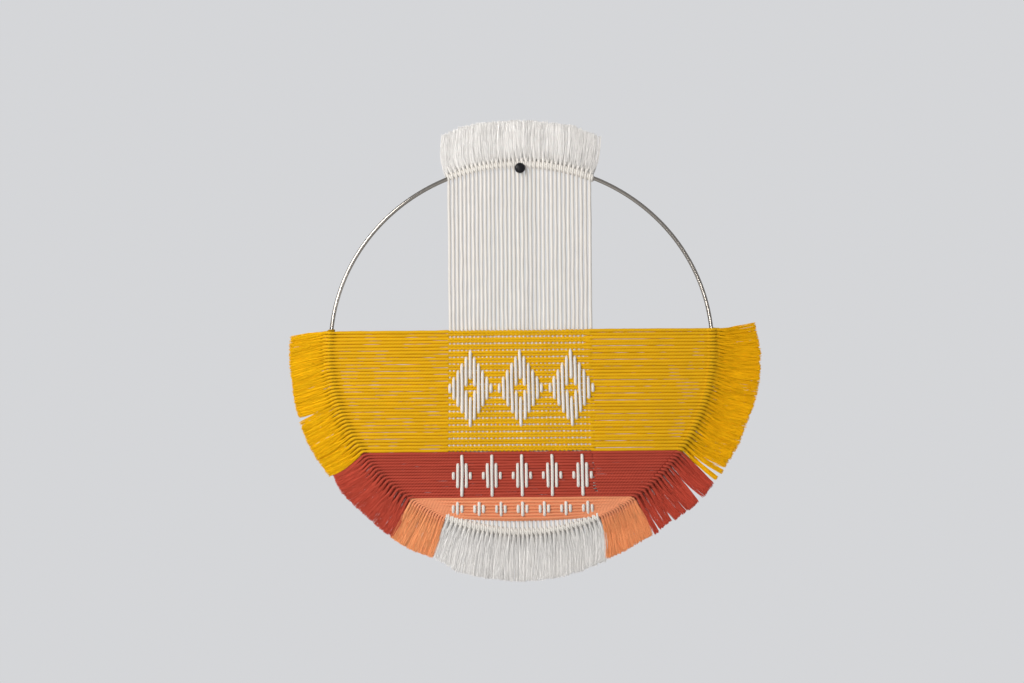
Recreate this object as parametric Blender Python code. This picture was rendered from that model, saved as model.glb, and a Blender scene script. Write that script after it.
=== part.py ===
"""Hoop weaving wall hanging: yarn knotted across a wire hoop, with fringed ends, on its wall pin.

Units are metres and +Z is up. The wall is the plane y = 0 and the front faces -Y.
The origin is where the pin's shank meets the wall.
"""
import math
import random

import bmesh
import bpy

MM = 0.001
GAP = 0.3 * MM

# Hoop: an oval of round wire, a little wider than tall
HOOP_HALF_WIDTH = 176.5 * MM
HOOP_HALF_HEIGHT = 169.6 * MM
WIRE_RADIUS = 1.8 * MM
HOOP_STEPS = 72
WIRE_SIDES = 8

# Knot row round the wire: six-sided, with a bump on the front for each knot
KNOT_CREST = 3.9 * MM
KNOT_VALLEY = 3.2 * MM
KNOT_BORE = 2.7 * MM
KNOT_SIDES = 6
KNOTS_PER_BORE_RING = 3
ROW_END_TRIM = 0.21 * MM
SIDE_TURN = math.radians(360 / KNOT_SIDES)
FACE_SHARE = math.cos(SIDE_TURN / 2)

# Pin that carries the hoop
SHANK_RADIUS = 0.6 * MM
SHANK_IN_WALL = 8.0 * MM
SHANK_POINT = 2.0 * MM
HEAD_RADIUS = 4.8 * MM
HEAD_HEIGHT = 3.6 * MM
PIN_SIDES = 20

# Depths: knots clear the wall, wefts lie in front of the hoop's middle plane and warps behind it
HOOP_Y = -(KNOT_VALLEY + GAP)
HOOP_Z = KNOT_VALLEY * FACE_SHARE + GAP + SHANK_RADIUS - HOOP_HALF_HEIGHT
PANEL_CLEARANCE = 0.42 * MM
PANEL_INSET = KNOT_CREST * FACE_SHARE + PANEL_CLEARANCE
YARN_DEPTH = 2.6 * MM
WARP_GROOVE = 0.8 * MM
WEFT_FRONT = HOOP_Y - GAP / 2 - YARN_DEPTH
WEFT_BACK = HOOP_Y - GAP / 2
WARP_FRONT = HOOP_Y + GAP / 2
WARP_BACK = WARP_FRONT + YARN_DEPTH
FLOAT_RISE = 0.9 * MM
FLOAT_OVERLAP = 0.8 * MM
FLOAT_FRONT = WEFT_FRONT - FLOAT_RISE
FLOAT_ROOT = WARP_FRONT + FLOAT_OVERLAP

# Warps: straight above the weft bands, fanning out slightly behind them, and set a little
# closer together on the left than on the right, where they meet the top knots
WARP_COUNT = 35
WARP_PITCH = 3.83 * MM
WARP_STRETCH = 0.0042 * MM
WARP_PITCH_BOTTOM = 4.03 * MM
WARP_DRIFT_BOTTOM = 2.0 * MM
PIN_SLOT = 17.5
NOTCH_DEPTH = 1.1 * MM

# Heights over the first weft where the warps start to bend behind it, and where they are behind it
BEND_START = 2.0 * MM
BEND_END = 0.5 * MM

# Weft bands: heights of the first and last yarn from the hoop's centre, at mid width, where the
# sheet ends beside the knots, and at the knots. Grooves are the depths between ribs, taken in turn
PAIR_GROOVE = 1.2 * MM
YARN_GROOVE = 0.5 * MM
BAND_TOP = 17.0 * MM
RED_TOP = -95.6 * MM
PEACH_TOP = -138.1 * MM
BANDS = {
    "yellow": {"yarns": 36, "ribs": 36, "grooves": (PAIR_GROOVE, YARN_GROOVE), "stations": 2,
               "mid": (BAND_TOP, RED_TOP), "end": (BAND_TOP, RED_TOP), "knots": (BAND_TOP, RED_TOP)},
    "red": {"yarns": 16, "ribs": 16, "grooves": (YARN_GROOVE,), "stations": 2,
            "mid": (RED_TOP, PEACH_TOP), "end": (RED_TOP, PEACH_TOP), "knots": (RED_TOP, PEACH_TOP)},
    "peach": {"yarns": 14, "ribs": 7, "grooves": (YARN_GROOVE,), "stations": 7,
              "mid": (PEACH_TOP, -159.3 * MM), "end": (PEACH_TOP, -154.2 * MM),
              "knots": (PEACH_TOP, -155.3 * MM)},
}

# Diamonds of warp floats: reach is in warps either side of the middle one, heights are half heights,
# and share is how far down the band they lie, centred on a pair of yarns or between two yarns
DIAMONDS = {
    "yellow": {"centres": (5, 17, 29), "share": 17 / 36, "reach": 5, "mid": 34.5 * MM, "tip": 3.1 * MM},
    "red": {"centres": (3, 10, 17, 24, 31), "share": 0.5, "reach": 2, "mid": 18.5 * MM, "tip": 2.6 * MM},
    "peach": {"centres": (2, 7, 12, 17, 22, 27, 32), "share": 0.5, "reach": 1, "mid": 6.0 * MM,
              "tip": 3.0 * MM},
}
FLOAT_HALF_WIDTH = 0.4
WINDOW_CLEARANCE = 0.35 * MM

# Fringe locks: heading is the way the tip points, from +X towards +Z, and length is from the wire's middle
FRINGES = {
    "white_top": {"yarn": "white", "stations": (
        {"knot": 0, "heading": 99, "length": 40.5}, {"knot": 4, "heading": 95, "length": 43.0},
        {"knot": 12, "heading": 91, "length": 41.5}, {"knot": 22, "heading": 89, "length": 41.0},
        {"knot": 29, "heading": 84, "length": 41.5}, {"knot": 34, "heading": 78, "length": 38.5})},
    "white_bottom": {"yarn": "white", "stations": (
        {"knot": 0, "heading": 250, "length": 39.5}, {"knot": 5, "heading": 259, "length": 46.0},
        {"knot": 17, "heading": 270, "length": 46.5}, {"knot": 28, "heading": 277, "length": 45.0},
        {"knot": 34, "heading": 281, "length": 41.5})},
    "yellow_left": {"yarn": "yellow", "stations": (
        {"knot": 0, "heading": 185, "length": 39.5}, {"knot": 6, "heading": 187, "length": 38.5},
        {"knot": 14, "heading": 188, "length": 40.5}, {"knot": 22, "heading": 187.5, "length": 44.0},
        {"knot": 23, "heading": 191.5, "length": 42.5}, {"knot": 29, "heading": 198, "length": 43.5},
        {"knot": 35, "heading": 205, "length": 41.5})},
    "yellow_right": {"yarn": "yellow", "stations": (
        {"knot": 0, "heading": 366, "length": 39.5}, {"knot": 6, "heading": 359, "length": 45.5},
        {"knot": 15, "heading": 353, "length": 47.5}, {"knot": 22, "heading": 349, "length": 46.0},
        {"knot": 29, "heading": 342, "length": 45.0}, {"knot": 35, "heading": 331, "length": 44.5})},
    "red_left": {"yarn": "red", "stations": (
        {"knot": 0, "heading": 211, "length": 36.5}, {"knot": 4, "heading": 216, "length": 39.5},
        {"knot": 9, "heading": 225, "length": 39.0}, {"knot": 15, "heading": 240, "length": 40.5})},
    "red_right": {"yarn": "red", "stations": (
        {"knot": 0, "heading": 319, "length": 46.0}, {"knot": 4, "heading": 316, "length": 45.5},
        {"knot": 8, "heading": 312, "length": 42.5}, {"knot": 15, "heading": 304, "length": 40.0})},
    "peach_left": {"yarn": "peach", "stations": (
        {"knot": 0, "heading": 240.5, "length": 41.0}, {"knot": 7, "heading": 245, "length": 42.0},
        {"knot": 13, "heading": 250, "length": 40.5})},
    "peach_right": {"yarn": "peach", "stations": (
        {"knot": 0, "heading": 303, "length": 40.0}, {"knot": 7, "heading": 293, "length": 41.0},
        {"knot": 13, "heading": 283, "length": 42.5})},
}
HEADING_WANDER = 0.8
LENGTH_WANDER = 0.035
LOCK_TIP_SHARE = 0.40
LOCK_TIP_HALF_WIDTH = 1.9 * MM
LOCK_TIP_HALF_DEPTH = 0.9 * MM
LOCK_DEPTH_WANDER = 0.5 * MM

COLOURS = {
    "steel": ((0.72, 0.70, 0.67, 1.0), 0.22, 1.0),
    "black": ((0.012, 0.012, 0.014, 1.0), 0.25, 0.0),
    "white": ((0.83, 0.79, 0.72, 1.0), 0.85, 0.0),
    "yellow": ((0.72, 0.38, 0.02, 1.0), 0.85, 0.0),
    "red": ((0.47, 0.055, 0.035, 1.0), 0.85, 0.0),
    "peach": ((0.82, 0.31, 0.15, 1.0), 0.85, 0.0),
}


def clear_scene():
    for old in list(bpy.data.objects):
        bpy.data.objects.remove(old, do_unlink=True)


def mix(first, last, share):
    return first + (last - first) * share


def make_material(name, finish):
    colour, roughness, metallic = COLOURS[finish]
    material = bpy.data.materials.new(name)
    material.use_nodes = True
    shader = material.node_tree.nodes["Principled BSDF"]
    shader.inputs["Base Color"].default_value = colour
    shader.inputs["Roughness"].default_value = roughness
    shader.inputs["Metallic"].default_value = metallic
    material.diffuse_color = colour
    return material


def add_object(name, bm, finish, smooth=False):
    """Close off a bmesh as one object with faces pointing out and its own material."""
    bmesh.ops.recalc_face_normals(bm, faces=bm.faces)
    mesh = bpy.data.meshes.new(name)
    bm.to_mesh(mesh)
    bm.free()
    mesh.materials.append(make_material(name, finish))
    if smooth:
        mesh.shade_smooth()
        mesh.set_sharp_from_angle(angle=math.radians(40))
    piece = bpy.data.objects.new(name, mesh)
    bpy.context.scene.collection.objects.link(piece)
    return piece


def hide_cutter(piece):
    piece.hide_render = True
    piece.display_type = "WIRE"


def add_boolean(piece, other, operation):
    step = piece.modifiers.new(other.name, "BOOLEAN")
    step.operation = operation
    step.solver = "EXACT"
    step.object = other
    hide_cutter(other)


def oval_height(x, inset=0.0):
    """Height above the hoop's centre of the wire's line, or of a line inset from it, at x."""
    return (HOOP_HALF_HEIGHT - inset) * math.sqrt(1 - (x / (HOOP_HALF_WIDTH - inset)) ** 2)


def oval_reach(z, inset=0.0):
    """Distance from the hoop's centre line to that line at height z."""
    return (HOOP_HALF_WIDTH - inset) * math.sqrt(1 - (z / (HOOP_HALF_HEIGHT - inset)) ** 2)


def yarn_heights(band, row, steps, inset=0.0):
    """Heights of a band's yarns where they end: level, or evenly spaced round the oval if they crowd."""
    first, last = band[row]
    if band["end"] == band["mid"]:
        return [mix(first, last, i / steps) for i in range(steps + 1)]
    height = HOOP_HALF_HEIGHT - inset
    start, end = math.asin(first / height), math.asin(last / height)
    return [height * math.sin(mix(start, end, i / steps)) for i in range(steps + 1)]


def warp_x(warp, z):
    """Place of a warp (or the point between two) at height z from the hoop's centre."""
    share = min(1.0, max(0.0, (BAND_TOP - z) / (BAND_TOP + HOOP_HALF_HEIGHT)))
    place = warp - PIN_SLOT
    top = place * (WARP_PITCH + WARP_STRETCH * place)
    return mix(top, place * WARP_PITCH_BOTTOM + WARP_DRIFT_BOTTOM, share)


def sheet_bmesh(lines):
    """Closed sheet through lines of (x, height, front, back) points, all with as many points."""
    bm = bmesh.new()
    fronts, backs = [], []
    for line in lines:
        fronts.append([bm.verts.new((x, front, HOOP_Z + z)) for x, z, front, back in line])
        backs.append([bm.verts.new((x, back, HOOP_Z + z)) for x, z, front, back in line])
    last, end = len(lines) - 1, len(lines[0]) - 1
    for i in range(last):
        for j in range(end):
            bm.faces.new((fronts[i][j], fronts[i][j + 1], fronts[i + 1][j + 1], fronts[i + 1][j]))
            bm.faces.new((backs[i][j], backs[i + 1][j], backs[i + 1][j + 1], backs[i][j + 1]))
        for j in (0, end):
            bm.faces.new((fronts[i][j], fronts[i + 1][j], backs[i + 1][j], backs[i][j]))
    for j in range(end):
        for i in (0, last):
            bm.faces.new((fronts[i][j], fronts[i][j + 1], backs[i][j + 1], backs[i][j]))
    bmesh.ops.recalc_face_normals(bm, faces=bm.faces)
    return bm


def merge_flat_faces(bm):
    bmesh.ops.dissolve_limit(bm, angle_limit=math.radians(0.05), verts=bm.verts, edges=bm.edges)


def join_bmesh(target, source):
    copy = bpy.data.meshes.new("copy")
    source.to_mesh(copy)
    source.free()
    target.from_mesh(copy)
    bpy.data.meshes.remove(copy)


def band_height(name, x, share):
    """Height in a weft band at x, share 0 at its top edge and 1 at its bottom edge."""
    band = BANDS[name]
    top, bottom = band["mid"]
    rise = band["end"][1] - bottom
    reach = oval_reach(band["end"][1], PANEL_INSET)
    return mix(top, bottom + rise * (x / reach) ** 2, share)


def build_hoop():
    bm = bmesh.new()
    rings = []
    for i in range(HOOP_STEPS):
        turn = 2 * math.pi * i / HOOP_STEPS
        middle, outward = hoop_frame(turn)
        rings.append([bm.verts.new(ring_point(middle, outward, WIRE_RADIUS, 2 * math.pi * k / WIRE_SIDES))
                      for k in range(WIRE_SIDES)])
    for i in range(HOOP_STEPS):
        ring, after = rings[i], rings[(i + 1) % HOOP_STEPS]
        for k in range(WIRE_SIDES):
            m = (k + 1) % WIRE_SIDES
            bm.faces.new((ring[k], ring[m], after[m], after[k]))
    return add_object("hoop", bm, "steel", smooth=True)


def hoop_frame(turn):
    """Point of the wire's line at an angle round the oval, and its outward direction, as (x, z)."""
    x, z = HOOP_HALF_WIDTH * math.cos(turn), HOOP_HALF_HEIGHT * math.sin(turn)
    out_x, out_z = x / HOOP_HALF_WIDTH ** 2, z / HOOP_HALF_HEIGHT ** 2
    size = math.hypot(out_x, out_z)
    return (x, z), (out_x / size, out_z / size)


def ring_point(middle, outward, radius, angle):
    """Point round the wire: angle 0 points out of the hoop and a quarter turn points to the front."""
    out = radius * math.cos(angle)
    return (middle[0] + out * outward[0], HOOP_Y - radius * math.sin(angle),
            HOOP_Z + middle[1] + out * outward[1])


def build_pin():
    back_of_head = HOOP_Y - KNOT_CREST - GAP
    front = back_of_head - HEAD_HEIGHT
    profile = (
        (0.42 * HEAD_RADIUS, front + 0.05 * HEAD_HEIGHT),
        (0.75 * HEAD_RADIUS, front + 0.28 * HEAD_HEIGHT),
        (0.95 * HEAD_RADIUS, front + 0.62 * HEAD_HEIGHT),
        (HEAD_RADIUS, back_of_head - 0.12 * HEAD_HEIGHT),
        (0.96 * HEAD_RADIUS, back_of_head),
        (SHANK_RADIUS, back_of_head),
        (SHANK_RADIUS, SHANK_IN_WALL - SHANK_POINT),
    )
    bm = bmesh.new()
    turns = [2 * math.pi * k / PIN_SIDES for k in range(PIN_SIDES)]
    rings = [[bm.verts.new((radius * math.cos(turn), y, radius * math.sin(turn))) for turn in turns]
             for radius, y in profile]
    poles = bm.verts.new((0, front, 0)), bm.verts.new((0, SHANK_IN_WALL, 0))
    for k in range(PIN_SIDES):
        m = (k + 1) % PIN_SIDES
        bm.faces.new((poles[0], rings[0][k], rings[0][m]))
        bm.faces.new((poles[1], rings[-1][m], rings[-1][k]))
        for ring, after in zip(rings, rings[1:]):
            bm.faces.new((ring[k], after[k], after[m], ring[m]))
    return add_object("wall_pin", bm, "black", smooth=True)


def build_warps():
    """White warps side by side, in front of the wefts where the diamonds of floats are."""
    lines = []
    for i in range(2 * WARP_COUNT + 1):
        warp = (i - 1) / 2
        groove = 0.0 if i % 2 else WARP_GROOVE
        top = oval_height(warp_x(warp, HOOP_HALF_HEIGHT), PANEL_INSET)
        if warp == PIN_SLOT:
            top = -NOTCH_DEPTH - HOOP_Z
        bottom = -oval_height(warp_x(warp, -HOOP_HALF_HEIGHT), PANEL_INSET)
        half = YARN_DEPTH / 2
        lines.append((
            (warp_x(warp, top), top, HOOP_Y - half + groove, HOOP_Y + half - groove),
            (warp_x(warp, BAND_TOP), BAND_TOP + BEND_START, WARP_FRONT + groove, WARP_BACK - groove),
            (warp_x(warp, BAND_TOP), BAND_TOP + BEND_END, WARP_FRONT, WARP_BACK - groove),
            (warp_x(warp, bottom), bottom, WARP_FRONT, WARP_BACK - groove),
        ))
    bm = sheet_bmesh(lines)
    merge_flat_faces(bm)
    warps = add_object("warp_curtain", bm, "white")
    floats = bmesh.new()
    for name, diamond in DIAMONDS.items():
        for centre in diamond["centres"]:
            join_bmesh(floats, float_bmesh(name, centre))
    add_boolean(warps, add_object("floats", floats, "white"), "UNION")
    return warps


def diamond_middle(name, centre):
    share = DIAMONDS[name]["share"]
    x = warp_x(centre, band_height(name, 0.0, share))
    return band_height(name, x, share)


def float_bmesh(name, centre):
    """One diamond of warps raised in front of the wefts, a ridge for each warp."""
    diamond = DIAMONDS[name]
    reach = diamond["reach"]
    middle = diamond_middle(name, centre)
    side = reach + FLOAT_HALF_WIDTH
    lines = []
    for step in [-side] + [i / 2 for i in range(-2 * reach, 2 * reach + 1)] + [side]:
        share = min(1.0, abs(step) / reach)
        half = mix(diamond["mid"], diamond["tip"], share)
        front = FLOAT_FRONT if step == round(step) else FLOAT_FRONT + WARP_GROOVE
        lines.append(tuple((warp_x(centre + step, z), z, front, FLOAT_ROOT)
                           for z in (middle + half, middle - half)))
    return sheet_bmesh(lines)


def window_bmesh(name, centre):
    """Prism that clears one diamond of floats through its weft band."""
    diamond = DIAMONDS[name]
    reach = diamond["reach"]
    middle = diamond_middle(name, centre)
    slope = (diamond["mid"] - diamond["tip"]) / (reach * WARP_PITCH)
    rise = WINDOW_CLEARANCE * math.hypot(1, slope)
    tip, mid = diamond["tip"] + rise, diamond["mid"] + rise
    side = reach + FLOAT_HALF_WIDTH + WINDOW_CLEARANCE / WARP_PITCH
    upper = ((-side, tip), (-reach, tip), (0, mid), (reach, tip), (side, tip))
    outline = list(upper) + [(step, -half) for step, half in reversed(upper)]
    bm = bmesh.new()
    layers = []
    for y in (FLOAT_FRONT - MM, WEFT_BACK + GAP / 3):
        layers.append([bm.verts.new((warp_x(centre + step, middle + half), y, HOOP_Z + middle + half))
                       for step, half in outline])
    bm.faces.new(layers[0])
    bm.faces.new(list(reversed(layers[1])))
    for k in range(len(outline)):
        m = (k + 1) % len(outline)
        bm.faces.new((layers[0][k], layers[1][k], layers[1][m], layers[0][m]))
    bmesh.ops.recalc_face_normals(bm, faces=bm.faces)
    return bm


def build_weft(name):
    """One colour of wefts as a ribbed sheet, with windows for the diamonds of warp floats."""
    band = BANDS[name]
    count = 2 * band["ribs"]
    ends = yarn_heights(band, "end", count, PANEL_INSET)
    mids = [mix(*band["mid"], i / count) for i in range(count + 1)]
    for heights in (ends, mids):
        heights[0] -= GAP / 2
        heights[-1] += GAP / 2
    lines = []
    for i in range(count + 1):
        groove = 0.0 if i % 2 else band["grooves"][i // 2 % len(band["grooves"])]
        reach = oval_reach(ends[i], PANEL_INSET)
        line = []
        for j in range(band["stations"]):
            share = mix(-1, 1, j / (band["stations"] - 1))
            height = mix(mids[i], ends[i], share * share)
            line.append((share * reach, height, WEFT_FRONT + groove, WEFT_BACK))
        lines.append(line)
    bm = sheet_bmesh(lines)
    merge_flat_faces(bm)
    weft = add_object("weft_" + name, bm, name)
    windows = bmesh.new()
    for centre in DIAMONDS[name]["centres"]:
        join_bmesh(windows, window_bmesh(name, centre))
    add_boolean(weft, add_object("windows_" + name, windows, name), "DIFFERENCE")
    return weft


def knot_turns(name):
    """Angles round the oval of the edges of a fringe's knots, from its first knot to its last."""
    yarn = FRINGES[name]["yarn"]
    if yarn == "white":
        level = HOOP_HALF_HEIGHT if name == "white_top" else -HOOP_HALF_HEIGHT
        places = [warp_x(i - 0.5, level) for i in range(WARP_COUNT + 1)]
        turns = [math.acos(x / HOOP_HALF_WIDTH) for x in places]
        turns = turns if level > 0 else [2 * math.pi - turn for turn in turns]
    else:
        band = BANDS[yarn]
        turns = [math.asin(z / HOOP_HALF_HEIGHT) for z in yarn_heights(band, "knots", band["yarns"])]
        turns = turns if name.endswith("right") else [math.pi - turn for turn in turns]
    trim = math.copysign(ROW_END_TRIM / HOOP_HALF_WIDTH, turns[-1] - turns[0])
    turns[0] += trim
    turns[-1] -= trim
    return turns


def read_station(stations, knot):
    """Heading in degrees and length in metres at a knot, between the rows of a fringe's table."""
    for first, last in zip(stations, stations[1:]):
        if knot <= last["knot"]:
            share = (knot - first["knot"]) / (last["knot"] - first["knot"])
            length = mix(first["length"], last["length"], share)
            return mix(first["heading"], last["heading"], share), length * MM
    raise ValueError("the last station is before the last knot")


def lock_tips(name, turns):
    """Middle of each lock's tip as (x, z) and its direction."""
    rng = random.Random(len(name) * 31 + ord(name[-1]))
    tips = []
    for knot in range(len(turns) - 1):
        root, _ = hoop_frame((turns[knot] + turns[knot + 1]) / 2)
        heading, length = read_station(FRINGES[name]["stations"], knot)
        heading = math.radians(heading + rng.uniform(-HEADING_WANDER, HEADING_WANDER))
        length *= 1 + rng.uniform(-LENGTH_WANDER, LENGTH_WANDER)
        way = math.cos(heading), math.sin(heading)
        depth = rng.uniform(-LOCK_DEPTH_WANDER, LOCK_DEPTH_WANDER)
        tips.append(((root[0] + length * way[0], root[1] + length * way[1]), way, depth))
    return tips


def build_fringe(name):
    """A row of knots round the wire with a tapering lock of yarn standing out of each."""
    turns = knot_turns(name)
    count = len(turns) - 1
    tips = lock_tips(name, turns)
    bm = bmesh.new()
    angles = [SIDE_TURN * (k + 0.5) for k in range(KNOT_SIDES)]

    def ring(turn, radius):
        middle, outward = hoop_frame(turn)
        return [bm.verts.new(ring_point(middle, outward, radius, angle)) for angle in angles]

    edges = [ring(turn, KNOT_VALLEY) for turn in turns]
    for knot in range(count):
        here, after = edges[knot], edges[knot + 1]
        middle, outward = hoop_frame((turns[knot] + turns[knot + 1]) / 2)
        front, inner = (bm.verts.new(ring_point(middle, outward, KNOT_CREST, angles[k])) for k in (1, 2))
        for corners in (
                (here[0], here[1], front), (here[0], front, after[0]), (front, after[1], after[0]),
                (here[1], here[2], inner, front), (front, inner, after[2], after[1]),
                (here[2], here[3], inner), (here[3], after[3], inner), (inner, after[3], after[2]),
                (here[3], here[4], after[4], after[3]), (here[4], here[5], after[5], after[4])):
            bm.faces.new(corners)
        add_lock(bm, (here[0], after[0], after[5], here[5]), tips, knot)
    bores = [ring(turns[i], KNOT_BORE) for i in list(range(0, count, KNOTS_PER_BORE_RING)) + [count]]
    for here, after in zip(bores, bores[1:]):
        for k in range(KNOT_SIDES):
            m = (k + 1) % KNOT_SIDES
            bm.faces.new((here[k], here[m], after[m], after[k]))
    for outer, bore in ((edges[0], bores[0]), (edges[-1], bores[-1])):
        for k in range(KNOT_SIDES):
            m = (k + 1) % KNOT_SIDES
            bm.faces.new((outer[k], outer[m], bore[m], bore[k]))
    return add_object("fringe_" + name, bm, FRINGES[name]["yarn"])


def add_lock(bm, base, tips, knot):
    """Four tapering sides from a knot's outer face to a small flat tip."""
    (x, z), way, depth = tips[knot]
    spaces = [math.dist((x, z), tips[n][0]) for n in (knot - 1, knot + 1) if 0 <= n < len(tips)]
    half = min(LOCK_TIP_HALF_WIDTH, LOCK_TIP_SHARE * min(spaces))
    across = base[1].co - base[0].co
    side = 1 if across.x * -way[1] + across.z * way[0] > 0 else -1
    corners = []
    for along, out in ((-half, -LOCK_TIP_HALF_DEPTH), (half, -LOCK_TIP_HALF_DEPTH),
                       (half, LOCK_TIP_HALF_DEPTH), (-half, LOCK_TIP_HALF_DEPTH)):
        corners.append(bm.verts.new((x - side * along * way[1], HOOP_Y + depth + out,
                                     HOOP_Z + z + side * along * way[0])))
    for k in range(4):
        m = (k + 1) % 4
        bm.faces.new((base[k], base[m], corners[m], corners[k]))
    bm.faces.new(corners)


def main():
    clear_scene()
    build_hoop()
    build_pin()
    build_warps()
    for name in BANDS:
        build_weft(name)
    for name in FRINGES:
        build_fringe(name)


main()
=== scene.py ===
"""Looks of a yarn weaving on a wire hoop: plied yarn, knots, combed fringe, bright wire and push pin.

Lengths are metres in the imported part's frame. +Z is up, the front faces -Y, and the origin is where
the pin enters the wall. Turns round the hoop and headings run from +X towards +Z.
"""
import math
import random

import bmesh
import bpy
from mathutils import Matrix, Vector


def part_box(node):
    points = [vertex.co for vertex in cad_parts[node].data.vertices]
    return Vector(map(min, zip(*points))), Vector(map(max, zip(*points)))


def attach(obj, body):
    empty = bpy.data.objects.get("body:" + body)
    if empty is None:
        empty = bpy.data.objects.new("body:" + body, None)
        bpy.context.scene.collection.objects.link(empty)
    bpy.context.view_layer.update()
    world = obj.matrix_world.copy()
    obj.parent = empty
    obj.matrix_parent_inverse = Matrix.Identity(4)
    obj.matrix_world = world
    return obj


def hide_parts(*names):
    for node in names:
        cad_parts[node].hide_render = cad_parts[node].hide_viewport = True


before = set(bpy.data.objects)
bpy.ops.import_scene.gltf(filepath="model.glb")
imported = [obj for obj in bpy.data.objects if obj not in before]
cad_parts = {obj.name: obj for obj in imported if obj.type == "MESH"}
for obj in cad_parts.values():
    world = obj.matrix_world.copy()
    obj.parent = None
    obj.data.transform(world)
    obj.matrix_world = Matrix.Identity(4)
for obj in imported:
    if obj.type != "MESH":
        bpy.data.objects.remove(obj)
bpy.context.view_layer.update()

MM = 0.001
BODY = "root"

# Hoop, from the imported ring
ring_low, ring_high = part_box("hoop")
WIRE_RADIUS = (ring_high.y - ring_low.y) / 2
HOOP_Y = (ring_high.y + ring_low.y) / 2
HOOP_Z = (ring_high.z + ring_low.z) / 2
HALF_WIDTH = (ring_high.x - ring_low.x) / 2 - WIRE_RADIUS
HALF_HEIGHT = (ring_high.z - ring_low.z) / 2 - WIRE_RADIUS
RING_STEPS = 240
RING_SIDES = 20

# Pin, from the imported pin. Edges, the low ring on the dome and the shoulder of the point are given as
# shares of the head's or the point's own size
pin_low, pin_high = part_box("wall_pin")
HEAD_RADIUS = (pin_high.x - pin_low.x) / 2
HEAD_HEIGHT = 3.6 * MM
HEAD_SIDES = 48
DOME_EDGE = 0.35
DOME_STEPS = 18
DOME_RING = {"rise": 0.10 * MM, "at": 0.45, "width": 0.07}
RIM_EDGE = 0.12
RIM_BACK_RADIUS = 0.96
SHANK_RADIUS = 0.6 * MM
SHANK_SIDES = 20
SHANK_IN_HEAD = 0.3 * MM
SHANK_POINT = 2.0 * MM
SHANK_SHOULDER = {"radius": 0.55, "from_tip": 0.45}
MERGE_DISTANCE = 0.01 * MM
SHARP_EDGE = math.radians(45)

# Warps: they spread and drift to the right on their way down, and the pin sits between two of them
WARP_COUNT = 35
WARP_PITCH = 3.83 * MM
WARP_STRETCH = 0.0042 * MM
WARP_PITCH_BOTTOM = 4.03 * MM
WARP_DRIFT_BOTTOM = 2.0 * MM
PIN_SLOT = 17.5

# A warp's run: its distance from the upper and the lower knot, its steps above the wefts, how far from a
# knot its drift fades and it goes from over the wire to behind the wefts, and its rings' spacing
WARP_START = 8 * MM
WARP_END = 9 * MM
WARP_ABOVE_BAND = 3 * MM
WARP_STEPS = 40
WARP_STEADY = 25 * MM
WARP_DIVE = 60 * MM
WARP_RINGS = 1.9 * MM

# Weft bands: heights from the hoop's centre of their top and bottom edges at mid width, and at the knots
# where those differ, yarns in a bundle, how far the yarns stand to the back and front in turn, the flat
# length of a yarn, and its rings' spacing
BAND_TOP = 17.0 * MM
RED_TOP = -95.6 * MM
PEACH_TOP = -138.1 * MM
BANDS = {
    "yellow": {"yarns": 36, "mid": (BAND_TOP, RED_TOP), "bundle": 2, "stagger": 0.15 * MM, "flat": 0.363,
               "rings": 1.25 * MM},
    "red": {"yarns": 16, "mid": (RED_TOP, PEACH_TOP), "bundle": 1, "stagger": 0.22 * MM, "flat": 0.265,
            "rings": 2.2 * MM},
    "peach": {"yarns": 14, "mid": (PEACH_TOP, -159.3 * MM), "knots": (PEACH_TOP, -155.3 * MM), "bundle": 1,
              "stagger": 0.55 * MM, "flat": 0.195, "rings": 2.2 * MM},
}

# A weft's run: its distance from a knot, how near that end a crossing may be, its steps beside the
# curtain, and how far from a knot its drift and stagger fade
WEFT_END = 7.5 * MM
LAST_CROSSING = 1 * MM
BESIDE_STEP = 3.2 * MM
WEFT_STEADY = 30 * MM

# How far each yarn of a pair draws to the other, and its thickness: on a warp, between two, and beside
# them. Pairs are not all as tight, and they relax beside the curtain
CLOSING = {"on": 0.90 * MM, "between": -0.10 * MM, "beside": 0.03 * MM}
PAIR_THICKNESS = {"on": 0.84, "between": 1.03, "beside": 1.0}
TIGHTNESS = (0.65, 1.15)
CURTAIN_EDGE = 66.0 * MM
RELAXED = 24.0 * MM

# Diamonds of warp floats: the middle warp floats over `span` bundles of wefts centred on bundle edge
# or bundle `middle`, each warp further out over `step` fewer, and a plain eye is left in the middle
DIAMONDS = {
    "yellow": {"centres": (5, 17, 29), "reach": 5, "middle": 8.5, "span": 11, "step": 2, "eye": 3},
    "red": {"centres": (3, 10, 17, 24, 31), "reach": 2, "middle": 8, "span": 14, "step": 6, "eye": 0},
    "peach": {"centres": (2, 7, 12, 17, 22, 27, 32), "reach": 1, "middle": 7, "span": 8, "step": 4, "eye": 0},
}

# Depths of the yarns' middles, how far a float presses the wefts back, and how far a warp comes forward
# near a gap between bundles of yellow wefts
WEFT_Y = HOOP_Y - 1.45 * MM
WARP_Y = HOOP_Y + 1.45 * MM
WARP_AT_WIRE_Y = HOOP_Y - 0.9 * MM
FLOAT_Y = WEFT_Y - 1.75 * MM
PRESSED_BACK = 0.55 * MM
SHOWING_THROUGH = 2.2 * MM
NEAR_GAP = 1.2 * MM

# Slow wander of a yarn: its size up and down or sideways, its size in depth, and the waves that make it,
# with their lengths in millimetres
DRIFT = {"weft": 0.16 * MM, "warp": 0.22 * MM}
SWING = {"weft": 0.12 * MM, "warp": 0.16 * MM}
WAVES = 3
WAVE_LENGTHS = (28, 90)
WAVE_SHARES = (0.5, 1.0)

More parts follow.
